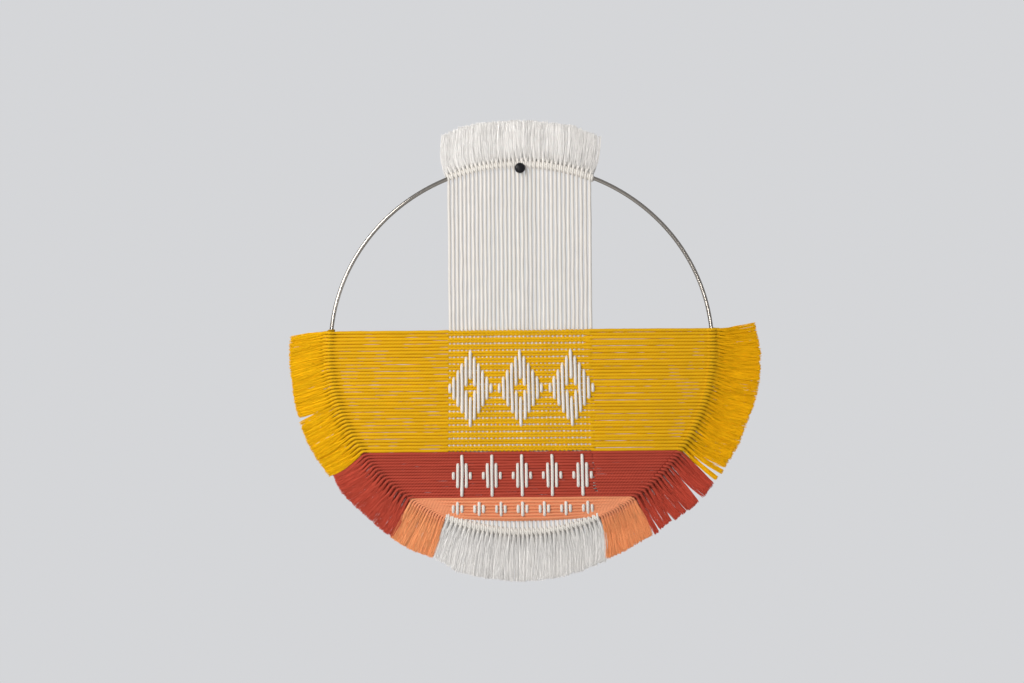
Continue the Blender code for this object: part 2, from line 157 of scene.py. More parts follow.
# Yarn radius, its colour and the darker colour of painted shade in its grooves, and the colour of its combed
# ends
YARNS = {
    "white": {"thick": 1.42 * MM, "colour": (0.79, 0.755, 0.705), "shade": (0.58, 0.52, 0.45),
              "combed": (1.0, 0.975, 0.945)},
    "yellow": {"thick": 1.56 * MM, "colour": (0.77, 0.425, 0.006), "shade": (0.61, 0.30, 0.004),
               "combed": (0.95, 0.52, 0.003)},
    "red": {"thick": 1.44 * MM, "colour": (0.475, 0.070, 0.042), "shade": (0.20, 0.016, 0.010),
            "combed": (0.60, 0.085, 0.050)},
    "peach": {"thick": 1.30 * MM, "colour": (0.84, 0.325, 0.165), "shade": (0.62, 0.18, 0.075),
              "combed": (1.0, 0.405, 0.17)},
}

# Make of every yarn: its sides, its uneven thickness, its plies and the grooves between them, which hold
# painted shade
YARN_SIDES = 8
UNEVENNESS = 0.30
UNEVEN_SCALE = 110.0
PLIES = 3
PLY_PITCH = 8.5 * MM
GROOVE_SHARPNESS = 2.5
GROOVE_SHADE = 0.75
FIBRE_HEIGHT = 0.35

# Tones count steps of brightness: one step, that of the soft spots, and how far yarns differ
TONE_STEP = 0.09
SPOT_STEP = 0.16
YARN_TONE = 0.5

# Finishes: scales of the fibres' and the soft spots' noise, strength of the bump, and sheen. A combed end is
# blended in part to the plied yarn's darker colour at its root, up to a share of its length: painted shade
# near the wire
FABRICS = {
    "plied": {"fibres": 2600.0, "spots": 70.0, "bump": 0.7, "sheen": 0.25},
    "combed": {"fibres": 1800.0, "spots": 160.0, "bump": 0.3, "sheen": 0.6},
}
COMBED_ROOT = 0.25
COMBED_ROOT_SHADE = 0.5
STEEL = {"light": (0.48, 0.44, 0.39), "dark": (0.38, 0.35, 0.32), "edge": (0.22, 0.21, 0.20)}
ENAMEL = {"dark": (0.008, 0.008, 0.009), "light": (0.016, 0.016, 0.018)}
FABRIC_BUMP = 0.25 * MM
HARD_BUMP = 0.1 * MM

# A yarn's end, from where it comes up inside the wire to where it dives into its lock: how far each point
# is inside or outside the wire's middle and in front of it, and the yarn's thickness there as a share.
# The first has come only part of the way forward from the yarn's own depth
OVER_WIRE = WIRE_RADIUS + 1.0 * MM
YARN_END = (
    {"inside": 4.6 * MM, "front": OVER_WIRE, "forward": 0.25, "thick": 0.90},
    {"inside": 2.0 * MM, "front": 0.92 * OVER_WIRE, "thick": 0.76},
    {"outside": 0.8 * MM, "front": OVER_WIRE, "thick": 0.82},
    {"outside": 3.6 * MM, "front": 1.6 * MM, "thick": 0.9},
    {"outside": 7.0 * MM, "front": 0.6 * MM, "thick": 0.7},
)

# Inner turns of a knot: how often they go round the wire, the yarn's radius and tone, and its rings'
# spacing. A coloured knot's low tone is painted shade between and under the yarns' ends. The yarn is
# pressed on the wire, so its middle is only a share of its radius off it. Knots tilt by up to some degrees,
# and their heights and tones differ
KNOT_LOOKS = {
    "white": {"turns": 1, "thick": 1.18 * MM, "tone": 0.0, "rings": 1.3 * MM},
    # Coloured knots are darkened with painted shade
    "coloured": {"turns": 2, "thick": 0.98 * MM, "tone": -5.5, "rings": 1.6 * MM},
}
KNOT_WIDTH = 3.5 * MM
KNOT_SLANT = (0.05, 0.95)
KNOT_STEPS = 16
KNOT_SIDES = 6
KNOT_PRESSED = 0.8
KNOT_TILT = 5
KNOT_HEIGHTS = (0.94, 1.06)
KNOT_TONE = 0.4

# The tapered back half of a coloured knot, from its tip inside the wire to behind the wire: how far each
# point is from the wire's middle and behind it, and the yarn's radius there. Its tone darkens it with
# painted shade behind the yarns
RETURN = (
    {"inside": 7.5 * MM, "behind": 0.9 * MM, "thick": 0.30 * MM},
    {"inside": 4.2 * MM, "behind": 1.0 * MM, "thick": 0.85 * MM},
    {"inside": 1.4 * MM, "behind": 2.3 * MM, "thick": 1.00 * MM},
    {"outside": 0.6 * MM, "behind": WIRE_RADIUS + 0.9 * MM, "thick": 1.00 * MM},
)
# Tone steps of painted shade on the returns
RETURN_SHADE_TONE = -4.4
RETURN_RINGS = 1.6 * MM
RETURN_UNEVENNESS = 0.2

# Fringe locks: a station gives a knot's heading, which is the way its lock's tip points in degrees, and its
# length in millimetres from the wire's middle. Clumps are the knots that start a new bunch, and pull is
# how far its locks lean together. Parted are the knots with an open gap before their lock. A lock opens
# between the two shares of its length in opening. A fringe's tone darkens all its locks: painted shade,
# used on the lower white fringe
FRINGES = {
    "white_top": {
        "yarn": "white", "clumps": (0, 3, 7, 12, 19, 24, 28, 31), "pull": 0.10, "opening": (0.02, 0.34),
        "stations": {0: (95, 40.5), 4: (93.5, 43.0), 12: (91, 41.5), 22: (89, 41.0), 29: (84, 41.5),
                     34: (78, 38.5)}},
    "white_bottom": {
        # Its tone darkens the whole fringe with painted shade
        "yarn": "white", "clumps": (0, 6, 13, 20, 27), "pull": 0.08, "opening": (0.05, 0.50), "tone": -0.7,
        "stations": {0: (250, 39.5), 5: (259, 46.0), 17: (270, 46.5), 28: (275, 45.0), 34: (277, 42.0)}},
    "yellow_left": {
        "yarn": "yellow", "clumps": (0, 9, 17, 19, 21, 28), "pull": 0.06, "parted": (17, 19, 21),
        "stations": {0: (188, 37.5), 2: (191, 39.5), 10: (197, 39.0), 20: (200, 40.5), 21: (208.5, 41.5),
                     28: (210, 41.5), 35: (213, 39.5)}},
    "yellow_right": {
        "yarn": "yellow", "clumps": (0, 8, 16, 24, 34, 35), "pull": 0.06, "parted": (34, 35),
        "stations": {0: (366, 41.0), 6: (357, 45.0), 15: (346, 46.2), 22: (341, 44.5), 29: (334, 44.5),
                     33: (330.5, 43.3), 34: (324.5, 44.0), 35: (319.5, 43.5)}},
    "red_left": {
        "yarn": "red", "clumps": (0, 5, 9, 13), "pull": 0.12,
        "stations": {0: (213, 37.0), 4: (216, 39.5), 9: (225, 39.0), 15: (240, 40.5)}},
    "red_right": {
        "yarn": "red", "clumps": (0, 5, 9, 12, 15), "pull": 0.08, "parted": (5, 9, 12, 15),
        "stations": {0: (315, 44.5), 4: (316.5, 44.2), 5: (309, 43.9), 8: (312, 42.9), 9: (310, 41.6),
                     11: (308, 40.9), 12: (301.5, 39.5), 14: (302, 39.9), 15: (299, 40.7)}},
    "peach_left": {
        "yarn": "peach", "clumps": (0, 5, 10), "pull": 0.10,
        "stations": {0: (240.5, 41.0), 7: (245, 42.0), 13: (250, 40.5)}},
    "peach_right": {
        "yarn": "peach", "clumps": (0, 5, 10), "pull": 0.10,
        "stations": {0: (295, 39.5), 7: (286, 40.0), 13: (278, 41.5)}},
}
HEADING_WANDER = 0.5
LENGTH_WANDER = 0.014
TIP_WANDER = 0.6 * MM

# Strands of a lock: a rope leaves the wire and opens, over fewer strands that fill the space behind it.
# Root is how far out of the wire's middle each starts, droop how far it leans down, and shadow the tone of
# the fill's root, a painted shadow; a fill's tip is also a little darker, painted shade behind the rope. A
# lock spreads by a share of the space between tips, or between knots if it is alone
ROPE = {"strands": 46, "root": 3.2 * MM, "y": HOOP_Y - 1.3 * MM}
FILL = {"strands": 30, "root": 1.5 * MM, "y": HOOP_Y + 0.5 * MM, "behind": 0.2 * MM, "pitches": 0.72,
        "tone": -0.1}
ROOT_LOOKS = {"white": {"droop": 0.0, "shadow": -0.7}, "coloured": {"droop": 0.25, "shadow": -3.6}}
ROPE_RADIUS = 1.25 * MM
OPEN_DEPTH = 0.5 * MM
OPENING = (0.14, 0.62)
LOCK_STATIONS = 9
LOCK_BEND = 0.42
LOCK_SETTLING = 1.5
LOCK_TONE = 0.35
LOCK_SPREAD = 0.95
LONE_LOCK_SPREAD = 0.6
STRANDS = {"Points": 7, "Strand radius": 0.22 * MM, "Frizz": 2.0 * MM, "Ragged": 0.06}
STRAND_SIDES = 3
STRAND_TAPER = 0.12
STRAND_TONE = 0.5
FRIZZ_SCALE = 120.0

# Camera and stage: the camera's place in X and Z, its distance in front of the hoop, its lens and sensor in
# millimetres, and how far from the floor's middle its colour fades into the sky's
CAMERA_AT = (-8.7 * MM, -159.8 * MM)
CAMERA_AWAY = 1.315
CAMERA_ROLL = math.radians(0.5)
CAMERA_LENS = 50
CAMERA_SENSOR = 36
SKY = (0.665, 0.672, 0.690)
SKY_LIGHT = 0.54
FLOOR_COLOUR = (0.72, 0.72, 0.72)
FLOOR_RADIUS = 6.0
FLOOR_SIDES = 96
FLOOR_Z = -1.25
FLOOR_FADE = (1.6, 3.4)
LIGHTS = {
    "window": {"place": (-1.06, -1.08, 0.50), "aim": (0.0, 0.0, -0.08), "size": 1.0, "power": 21.5,
               "colour": (1.0, 0.985, 0.96)},
    "front": {"place": (-0.45, -2.05, -0.20), "aim": (0.0, 0.0, -0.14), "size": 0.35, "power": 5.5,
              "colour": (1.0, 0.99, 0.97)},
}


def mix(first, last, share):
    return first + (last - first) * share


def ease(share):
    share = min(1.0, max(0.0, share))
    return share * share * (3 - 2 * share)


def in_row(x, y, z):
    """Point of the row frame from x and z measured from the hoop's centre."""
    return (x, y, HOOP_Z + z)


def look_of(yarn):
    """Which of the two kinds of knots and roots a yarn has."""
    return "white" if yarn == "white" else "coloured"


# Places on the hoop and in the weave

def hoop_frame(turn):
    """Point of the wire's line at an angle round the oval, and its outward direction, as (x, z)."""
    x, z = HALF_WIDTH * math.cos(turn), HALF_HEIGHT * math.sin(turn)
    out_x, out_z = x / HALF_WIDTH ** 2, z / HALF_HEIGHT ** 2
    size = math.hypot(out_x, out_z)
    return (x, z), (out_x / size, out_z / size)


def by_wire(turn, inner, step, y):
    """Point of a step inside the wire's middle, along the yarn, or outside it."""
    (x, z), out = hoop_frame(turn)
    way, away = (inner, step["inside"]) if "inside" in step else (out, step["outside"])
    return in_row(x + way[0] * away, y, z + way[1] * away)


def warp_x(warp, z):
    """Place of a warp (or the point between two) at height z from the hoop's centre."""
    share = min(1.0, max(0.0, (BAND_TOP - z) / (BAND_TOP + HALF_HEIGHT)))
    place = warp - PIN_SLOT
    top = place * (WARP_PITCH + WARP_STRETCH * place)
    return mix(top, place * WARP_PITCH_BOTTOM + WARP_DRIFT_BOTTOM, share)


def knot_turns(name):
    """Angles round the oval of the edges of a fringe's knots, from its first knot to its last."""
    yarn = FRINGES[name]["yarn"]
    if yarn == "white":
        level = HALF_HEIGHT if name == "white_top" else -HALF_HEIGHT
        turns = [math.acos(warp_x(i - 0.5, level) / HALF_WIDTH) for i in range(WARP_COUNT + 1)]
        return turns if level > 0 else [2 * math.pi - turn for turn in turns]
    band = BANDS[yarn]
    shares = [i / band["yarns"] for i in range(band["yarns"] + 1)]
    if "knots" in band:
        start, end = (math.asin(z / HALF_HEIGHT) for z in band["knots"])
        turns = [mix(start, end, share) for share in shares]
    else:
        turns = [math.asin(mix(*band["mid"], share) / HALF_HEIGHT) for share in shares]
    return turns if name.endswith("right") else [math.pi - turn for turn in turns]


def knot_middles(name):
    turns = knot_turns(name)
    return [(here + after) / 2 for here, after in zip(turns, turns[1:])]


def read_station(stations, knot):
    """Heading in degrees and length in metres at a knot, between the stations of a fringe's table."""
    rows = list(stations.items())
    for (before, first), (after, last) in zip(rows, rows[1:]):
        if knot <= after:
            heading, length = (mix(low, high, (knot - before) / (after - before))
                               for low, high in zip(first, last))
            return heading, length * MM
    raise ValueError("the last station is before the last knot")


def lock_tips(name):
    """Middle of each lock's tip, leaning a little to the middle of its clump."""
    rng = random.Random(len(name) * 31 + ord(name[-1]))
    fringe = FRINGES[name]
    tips = []
    for knot, turn in enumerate(knot_middles(name)):
        (x, z), _ = hoop_frame(turn)
        heading, length = read_station(fringe["stations"], knot)
        heading = math.radians(heading + rng.uniform(-HEADING_WANDER, HEADING_WANDER))
        length *= 1 + rng.uniform(-LENGTH_WANDER, LENGTH_WANDER)
        # A spare draw, which keeps the later locks where they are
        rng.random()
        tips.append((x + length * math.cos(heading), z + length * math.sin(heading)))
    starts = list(fringe["clumps"]) + [len(tips)]
    for start, end in zip(starts, starts[1:]):
        bunch = tips[start:end]
        middle = [sum(tip[axis] for tip in bunch) / len(bunch) for axis in (0, 1)]
        tips[start:end] = [
            tuple(mix(tip[axis], middle[axis], fringe["pull"]) for axis in (0, 1)) for tip in bunch]
    return tips


# Node trees

def connect(tree, node, links):
    """Give a node's inputs, by name or number, a link from a node or socket, or a plain value."""
    for key, value in links.items():
        if isinstance(value, bpy.types.Node):
            value = value.outputs[0]
        if isinstance(value, bpy.types.NodeSocket):
            tree.links.new(value, node.inputs[key])
        else:
            node.inputs[key].default_value = value


def add_node(tree, kind, links, **settings):
    node = tree.nodes.new(kind)
    for name, value in settings.items():
        setattr(node, name, value)
    connect(tree, node, links)
    return node


def new_tree(name, inputs):
    """Node tree that takes geometry and named inputs, with the outputs of its input node."""
    tree = bpy.data.node_groups.new(name, "GeometryNodeTree")
    tree.interface.new_socket("Geometry", in_out="INPUT", socket_type="NodeSocketGeometry")
    for label, kind in inputs.items():
        tree.interface.new_socket(label, in_out="INPUT", socket_type="NodeSocket" + kind)
    tree.interface.new_socket("Geometry", in_out="OUTPUT", socket_type="NodeSocketGeometry")
    return tree, tree.nodes.new("NodeGroupInput").outputs


def end_tree(tree, geometry, material):
    realized = add_node(tree, "GeometryNodeRealizeInstances", {"Geometry": geometry})
    painted = add_node(tree, "GeometryNodeSetMaterial", {"Geometry": realized, "Material": material})
    add_node(tree, "NodeGroupOutput", {"Geometry": painted})
    return tree


def named(tree, name, kind="FLOAT"):
    read = add_node(tree, "GeometryNodeInputNamedAttribute", {"Name": name}, data_type=kind)
    return read.outputs["Attribute"]


def store(tree, geometry, name, value, kind="FLOAT"):
    links = {"Geometry": geometry, "Name": name, "Value": value}
    return add_node(tree, "GeometryNodeStoreNamedAttribute", links, data_type=kind, domain="POINT")


def math_node(tree, operation, *values):
    return add_node(tree, "ShaderNodeMath", dict(enumerate(values)), operation=operation)


def times(tree, first, second):
    return math_node(tree, "MULTIPLY", first, second)


def vector_node(tree, operation, *values):
    return add_node(tree, "ShaderNodeVectorMath", dict(enumerate(values)), operation=operation)


def scaled(tree, vector, factor):
    return add_node(tree, "ShaderNodeVectorMath", {0: vector, "Scale": factor}, operation="SCALE")


def smooth_lines(tree, geometry):
    lines = add_node(tree, "GeometryNodeMeshToCurve", {"Mesh": geometry})
    return add_node(tree, "GeometryNodeCurveSplineType", {"Curve": lines}, spline_type="CATMULL_ROM")


def circle_curve(tree, sides, radius):
    return add_node(tree, "GeometryNodeCurvePrimitiveCircle", {"Resolution": sides, "Radius": radius})


def yarn_tree():
    """Round yarn along every line: a smooth path, uneven thickness, and values for the ply pattern."""
    tree, given = new_tree("yarn_on_lines", {
        "Ring spacing": "Float", "Sides": "Int", "Unevenness": "Float", "Material": "Material"})
    rings = add_node(tree, "GeometryNodeResampleCurve", {
        "Curve": smooth_lines(tree, given["Geometry"]), "Length": given["Ring spacing"]}, mode="LENGTH")
    length = add_node(tree, "GeometryNodeSplineParameter", {}).outputs["Length"]
    rings = store(tree, rings, "along", length)
    circle = circle_curve(tree, given["Sides"], 1.0)
    circle = store(tree, circle, "round", add_node(tree, "GeometryNodeInputPosition", {}), "FLOAT_VECTOR")
    noise = add_node(tree, "ShaderNodeTexNoise", {"Scale": UNEVEN_SCALE, "Detail": 1.0})
    bulge = math_node(tree, "MULTIPLY_ADD", math_node(tree, "SUBTRACT", noise, 0.5), given["Unevenness"], 1.0)
    thick = times(tree, named(tree, "thick"), bulge)
    tubes = add_node(tree, "GeometryNodeCurveToMesh", {
        "Curve": rings, "Profile Curve": circle, "Scale": thick, "Fill Caps": True})
    return end_tree(tree, tubes, given["Material"])


def knot_tree():
    """A copy of one knot at each point, turned to the wire there."""
    tree, given = new_tree("knots_on_wire", {"Knot": "Object", "Material": "Material"})
    knot = add_node(tree, "GeometryNodeObjectInfo", {"Object": given["Knot"]}).outputs["Geometry"]
    turn = add_node(tree, "FunctionNodeAxesToRotation",
                    {0: named(tree, "way", "FLOAT_VECTOR"), 1: named(tree, "out", "FLOAT_VECTOR")},
                    primary_axis="X", secondary_axis="Y")
    copies = add_node(tree, "GeometryNodeInstanceOnPoints", {
        "Points": given["Geometry"], "Instance": knot, "Rotation": turn,
        "Scale": named(tree, "size", "FLOAT_VECTOR")})
    return end_tree(tree, copies, given["Material"])


def fringe_tree():
    """Fine combed strands round every guide line, spreading as the line's own values say."""
    tree, given = new_tree("combed_strands", {
        "Points": "Int", "Strand radius": "Float", "Frizz": "Float", "Ragged": "Float", "Seed": "Int",
        "Material": "Material"})
    guides = add_node(tree, "GeometryNodeResampleCurve", {
        "Curve": smooth_lines(tree, given["Geometry"]), "Count": given["Points"]}, mode="COUNT")
    amount = add_node(tree, "GeometryNodeFieldOnDomain", {"Value": named(tree, "strands")}, domain="CURVE")
    strands = add_node(tree, "GeometryNodeDuplicateElements", {"Geometry": guides, "Amount": amount},
                       domain="SPLINE")
    index = add_node(tree, "GeometryNodeInputIndex", {})
    strand = add_node(tree, "GeometryNodeFieldOnDomain", {"Value": index}, domain="CURVE", data_type="INT")

    def draw(low, high, offset):
        """A random value for each strand, with a seed of its own."""
        seed = math_node(tree, "ADD", given["Seed"], float(offset))
        value = add_node(tree, "FunctionNodeRandomValue", {2: low, 3: high, "ID": strand, "Seed": seed})
        return value.outputs[1]

    angle = draw(0.0, 2 * math.pi, 1)
    reach = math_node(tree, "SQRT", draw(0.0, 1.0, 2))
    sideways = times(tree, math_node(tree, "COSINE", angle), reach)
    forward = times(tree, math_node(tree, "SINE", angle), reach)
    tangent = add_node(tree, "GeometryNodeInputTangent", {})
    across = vector_node(tree, "NORMALIZE", vector_node(tree, "CROSS_PRODUCT", tangent, (0.0, 1.0, 0.0)))
    side_step = scaled(tree, across, times(tree, sideways, named(tree, "spread")))
    depth = times(tree, forward, named(tree, "depth"))
    depth_step = scaled(tree, (0.0, 1.0, 0.0), depth)
    place = add_node(tree, "GeometryNodeInputPosition", {})
    shift = add_node(tree, "ShaderNodeCombineXYZ", {axis: draw(0.0, 1.0, 3 + axis) for axis in range(3)})
    noise = add_node(tree, "ShaderNodeTexNoise", {
        "Vector": vector_node(tree, "ADD", place, shift), "Scale": FRIZZ_SCALE, "Detail": 1.0})
    factor = add_node(tree, "GeometryNodeSplineParameter", {}).outputs["Factor"]
    frizz = times(tree, given["Frizz"], factor)
    wave = vector_node(tree, "SUBTRACT", noise.outputs["Color"], (0.5, 0.5, 0.5))
    move = vector_node(tree, "ADD", vector_node(tree, "ADD", side_step, depth_step),
                       scaled(tree, wave, frizz))
    strands = add_node(tree, "GeometryNodeSetPosition", {"Geometry": strands, "Offset": move})
    tone = math_node(tree, "ADD", named(tree, "tone"), draw(-STRAND_TONE, STRAND_TONE, 6))
    strands = store(tree, strands, "tone", tone)
    strands = store(tree, strands, "along", factor)
    short = times(tree, given["Ragged"], draw(0.0, 1.0, 7))
    end = math_node(tree, "SUBTRACT", 1.0, short)
    strands = add_node(tree, "GeometryNodeTrimCurve", {"Curve": strands, "End": end}, mode="FACTOR")
    taper = math_node(tree, "MULTIPLY_ADD", factor, -STRAND_TAPER, 1.0)
    radius = times(tree, given["Strand radius"], taper)
    tubes = add_node(tree, "GeometryNodeCurveToMesh", {
        "Curve": strands, "Profile Curve": circle_curve(tree, STRAND_SIDES, 1.0), "Scale": radius})
    return end_tree(tree, tubes, given["Material"])


def ring_tree():
    """Round wire bent to an oval ring."""
    tree, given = new_tree("oval_ring", {
        "Steps": "Int", "Sides": "Int", "Wire radius": "Float", "Half sizes": "Vector", "Middle": "Vector",
        "Material": "Material"})
    oval = add_node(tree, "GeometryNodeTransform", {
        "Geometry": circle_curve(tree, given["Steps"], 1.0), "Rotation": (math.pi / 2, 0.0, 0.0),
        "Scale": given["Half sizes"]})
    profile = circle_curve(tree, given["Sides"], given["Wire radius"])
    wire = add_node(tree, "GeometryNodeCurveToMesh", {"Curve": oval, "Profile Curve": profile})
    placed = add_node(tree, "GeometryNodeTransform", {"Geometry": wire, "Translation": given["Middle"]})
    return end_tree(tree, placed, given["Material"])


def grow(name, base, tree, values):
    """Run a node tree on a base mesh and return its result as a plain mesh object."""
    step = base.modifiers.new(tree.name, "NODES")
    step.node_group = tree
    sockets = {item.name: item.identifier for item in tree.interface.items_tree if item.in_out == "INPUT"}
    for label, value in values.items():
        step[sockets[label]] = value
    shown = base.evaluated_get(bpy.context.evaluated_depsgraph_get())
    mesh = bpy.data.meshes.new_from_object(shown)
    base.modifiers.remove(step)
    bpy.data.objects.remove(base)
    mesh.name = name
    mesh.shade_smooth()
    return link_object(name, mesh)


def link_object(name, data):
    placed = bpy.data.objects.new(name, data)
    bpy.context.scene.collection.objects.link(placed)
    return placed


def lines_object(lines):
    """Lines of points as one wire mesh. Each point is a dict of its place and its named values."""
    places = [point["place"] for line in lines for point in line]
    edges = []
    start = 0
    for line in lines:
        edges += [(start + i, start + i + 1) for i in range(len(line) - 1)]
        start += len(line)
    mesh = bpy.data.meshes.new("lines")
    mesh.from_pydata(places, edges, [])
    for label, value in lines[0][0].items():
        if label == "place":
            continue
        kind = "FLOAT_VECTOR" if isinstance(value, tuple) else "FLOAT"
        store_in = mesh.attributes.new(label, kind, "POINT")
        values = [point[label] for line in lines for point in line]
        if kind == "FLOAT":
            store_in.data.foreach_set("value", values)
        else:
            store_in.data.foreach_set("vector", [part for vector in values for part in vector])
    return link_object("lines", mesh)


# Materials

def new_material(name):
    material = bpy.data.materials.new(name)
    material.use_nodes = True
    tree = material.node_tree
    return material, tree, tree.nodes["Principled BSDF"]


def attribute(tree, name, output="Fac"):
    return add_node(tree, "ShaderNodeAttribute", {}, attribute_name=name).outputs[output]


def object_noise(tree, scale, detail=2.0):
    """Noise that stays fixed to the piece, finer at a larger scale."""
    place = add_node(tree, "ShaderNodeTexCoord", {}).outputs["Object"]
    return add_node(tree, "ShaderNodeTexNoise", {"Vector": place, "Scale": scale, "Detail": detail})


def blend_colours(tree, share, first, last):
    """Blend two colours, which are inputs 6 and 7 of a Mix node, with the result as its output 2."""
    blend = add_node(tree, "ShaderNodeMix", {0: share, 6: (*first, 1.0), 7: (*last, 1.0)}, data_type="RGBA")
    return blend.outputs[2]


def bumped(tree, height, strength, distance):
    return add_node(tree, "ShaderNodeBump", {"Height": height, "Strength": strength, "Distance": distance})


def toned(tree, colour, look):
    """Lighten or darken a colour by a yarn's own tone and by soft spots along it. The tone also carries
    painted shade on coloured knots, returns, the fill behind locks and the lower white fringe.
    """
    spots = math_node(tree, "SUBTRACT", object_noise(tree, look["spots"]), 0.5)
    value = math_node(tree, "MULTIPLY_ADD", attribute(tree, "tone"), TONE_STEP, 1.0)
    value = math_node(tree, "MULTIPLY_ADD", spots, SPOT_STEP, value)
    return add_node(tree, "ShaderNodeHueSaturation", {"Value": value, "Color": colour})


def finish_fabric(tree, shader, colour, height, look, tint):
    connect(tree, shader, {
        "Base Color": colour, "Normal": bumped(tree, height, look["bump"], FABRIC_BUMP), "Roughness": 0.9,
        "Specular IOR Level": 0.15, "Sheen Weight": look["sheen"], "Sheen Roughness": 0.45,
        "Sheen Tint": (*tint, 1.0)})


def plied_material(name):
    """Three-ply cotton yarn: twisted plies with painted shade in their grooves, fine fibres, and uneven dye
    along its length.
    """
    yarn, look = YARNS[name], FABRICS["plied"]
    material, tree, shader = new_material("plied_" + name)
    across = add_node(tree, "ShaderNodeSeparateXYZ", {0: attribute(tree, "round", "Vector")})
    angle = math_node(tree, "ARCTAN2", across.outputs[1], across.outputs[0])
    turns = times(tree, attribute(tree, "along"), math.pi * PLIES / PLY_PITCH)
    phase = math_node(tree, "MULTIPLY_ADD", angle, PLIES / 2, turns)
    ply = math_node(tree, "ABSOLUTE", math_node(tree, "SINE", phase))
    groove = math_node(tree, "POWER", math_node(tree, "SUBTRACT", 1.0, ply), GROOVE_SHARPNESS)
    # Painted shade: the ply grooves are blended towards the darker shade colour
    shade = times(tree, groove, GROOVE_SHADE)
    colour = toned(tree, blend_colours(tree, shade, yarn["colour"], yarn["shade"]), look)
    height = math_node(tree, "MULTIPLY_ADD", object_noise(tree, look["fibres"]), FIBRE_HEIGHT, ply)
    finish_fabric(tree, shader, colour, height, look, yarn["colour"])
    return material


def combed_material(name):
    """Combed ends of the same cotton: fine separate fibres, paler than the plied yarn, with painted shade
    darkening them towards the wire.
    """
    yarn, look = YARNS[name], FABRICS["combed"]
    material, tree, shader = new_material("combed_" + name)
    # Painted shade: the root of a combed end is darkened towards the plied colour
    beyond = times(tree, attribute(tree, "along"), 1 / COMBED_ROOT)
    root = add_node(tree, "ShaderNodeClamp", {"Value": math_node(tree, "SUBTRACT", 1.0, beyond)})
    share = times(tree, root, COMBED_ROOT_SHADE)
    colour = toned(tree, blend_colours(tree, share, yarn["combed"], yarn["colour"]), look)
    finish_fabric(tree, shader, colour, object_noise(tree, look["fibres"]), look, yarn["combed"])
    return material


def steel_material():
    """Bright drawn steel wire with faint drawing marks."""
    material, tree, shader = new_material("drawn_steel")
    cloud = object_noise(tree, 25.0)
    marks = object_noise(tree, 900.0, detail=3.0)
    rough = add_node(tree, "ShaderNodeMapRange", {"Value": cloud, "To Min": 0.10, "To Max": 0.15})
    connect(tree, shader, {
        "Base Color": blend_colours(tree, cloud, STEEL["light"], STEEL["dark"]), "Roughness": rough,
        "Normal": bumped(tree, marks, 0.02, HARD_BUMP), "Metallic": 1.0,
        "Specular Tint": (*STEEL["edge"], 1.0)})
    return material


def enamel_material():
    """Glossy black enamel with a very fine uneven skin."""
    material, tree, shader = new_material("black_enamel")
    skin = object_noise(tree, 500.0)
    connect(tree, shader, {
        "Base Color": blend_colours(tree, skin, ENAMEL["dark"], ENAMEL["light"]),
        "Normal": bumped(tree, skin, 0.05, HARD_BUMP), "Roughness": 0.28, "Specular IOR Level": 0.12,
        "Coat Weight": 0.12, "Coat Roughness": 0.08})
    return material


# Yarn paths

def weft_height(name, yarn, x):
    """Height of an evenly laid weft from the hoop's centre, at x."""
    band = BANDS[name]
    mid = mix(*band["mid"], (yarn + 0.5) / band["yarns"])
    (end_x, end_z), _ = hoop_frame(knot_middles(name + "_right")[yarn])
    return mix(mid, end_z, min(1.0, abs(x) / end_x) ** 2)


def paired(values, x, on_warp):
    """A pair's value at x: on or between warps over the curtain, and easing to its value beside it."""
    over = 1 - ease((abs(x) - CURTAIN_EDGE) / RELAXED)
    return mix(values["beside"], mix(values["between"], values["on"], on_warp), over)


def weft_stations(z, inside):
    """Places along a weft, and 1 where it crosses a warp: on and between the warps, and evenly beside."""
    places = [(warp_x(i / 2, z), float(i % 2 == 0)) for i in range(-1, 2 * WARP_COUNT)]
    places = [(x, on) for x, on in places if abs(x) < inside - LAST_CROSSING]
    for sign in (-1, 1):
        edge = abs(places[0 if sign < 0 else -1][0])
        steps = max(1, round((inside - edge) / BESIDE_STEP))
        places += [(sign * mix(edge, inside, i / steps), 0.0) for i in range(1, steps + 1)]
    return sorted(places)


def crossing_heights(name, warp):
    """Heights of a band's wefts where they cross a warp."""
    band = BANDS[name]
    x = warp_x(warp, sum(band["mid"]) / 2)
    return [weft_height(name, yarn, x) for yarn in range(band["yarns"])]


def bundle_gaps(warp):
    """Heights where one bundle of wefts ends and the next begins, at a warp."""
    gaps = []
    for name, band in BANDS.items():
        count, bundle = band["yarns"], band["bundle"]
        heights = crossing_heights(name, warp)
        step = (heights[0] - heights[-1]) / (count - 1)
        gaps.append(heights[0] + step / 2)
        gaps += [(heights[i - 1] + heights[i]) / 2 for i in range(bundle, count, bundle)]
    return gaps + [heights[-1] - step / 2]


def floats_of(warp):
    """The stretches where a warp floats in front of the wefts, as (top, bottom) heights."""
    stretches = []
    for name, diamond in DIAMONDS.items():
        heights = crossing_heights(name, warp)
        step = (heights[0] - heights[-1]) / (len(heights) - 1)
        pitch = step * BANDS[name]["bundle"]
        middle = heights[0] + step / 2 - pitch * diamond["middle"]
        for away in (abs(warp - centre) for centre in diamond["centres"]):
            if away > diamond["reach"]:
                continue
            half = (diamond["span"] - diamond["step"] * away) * pitch / 2
            eye = max(0, diamond["eye"] - 2 * away) * pitch / 2
            if eye > 0:
                stretches += [(middle + half, middle + eye), (middle - eye, middle - half)]
            else:
                stretches.append((middle + half, middle - half))
    return stretches


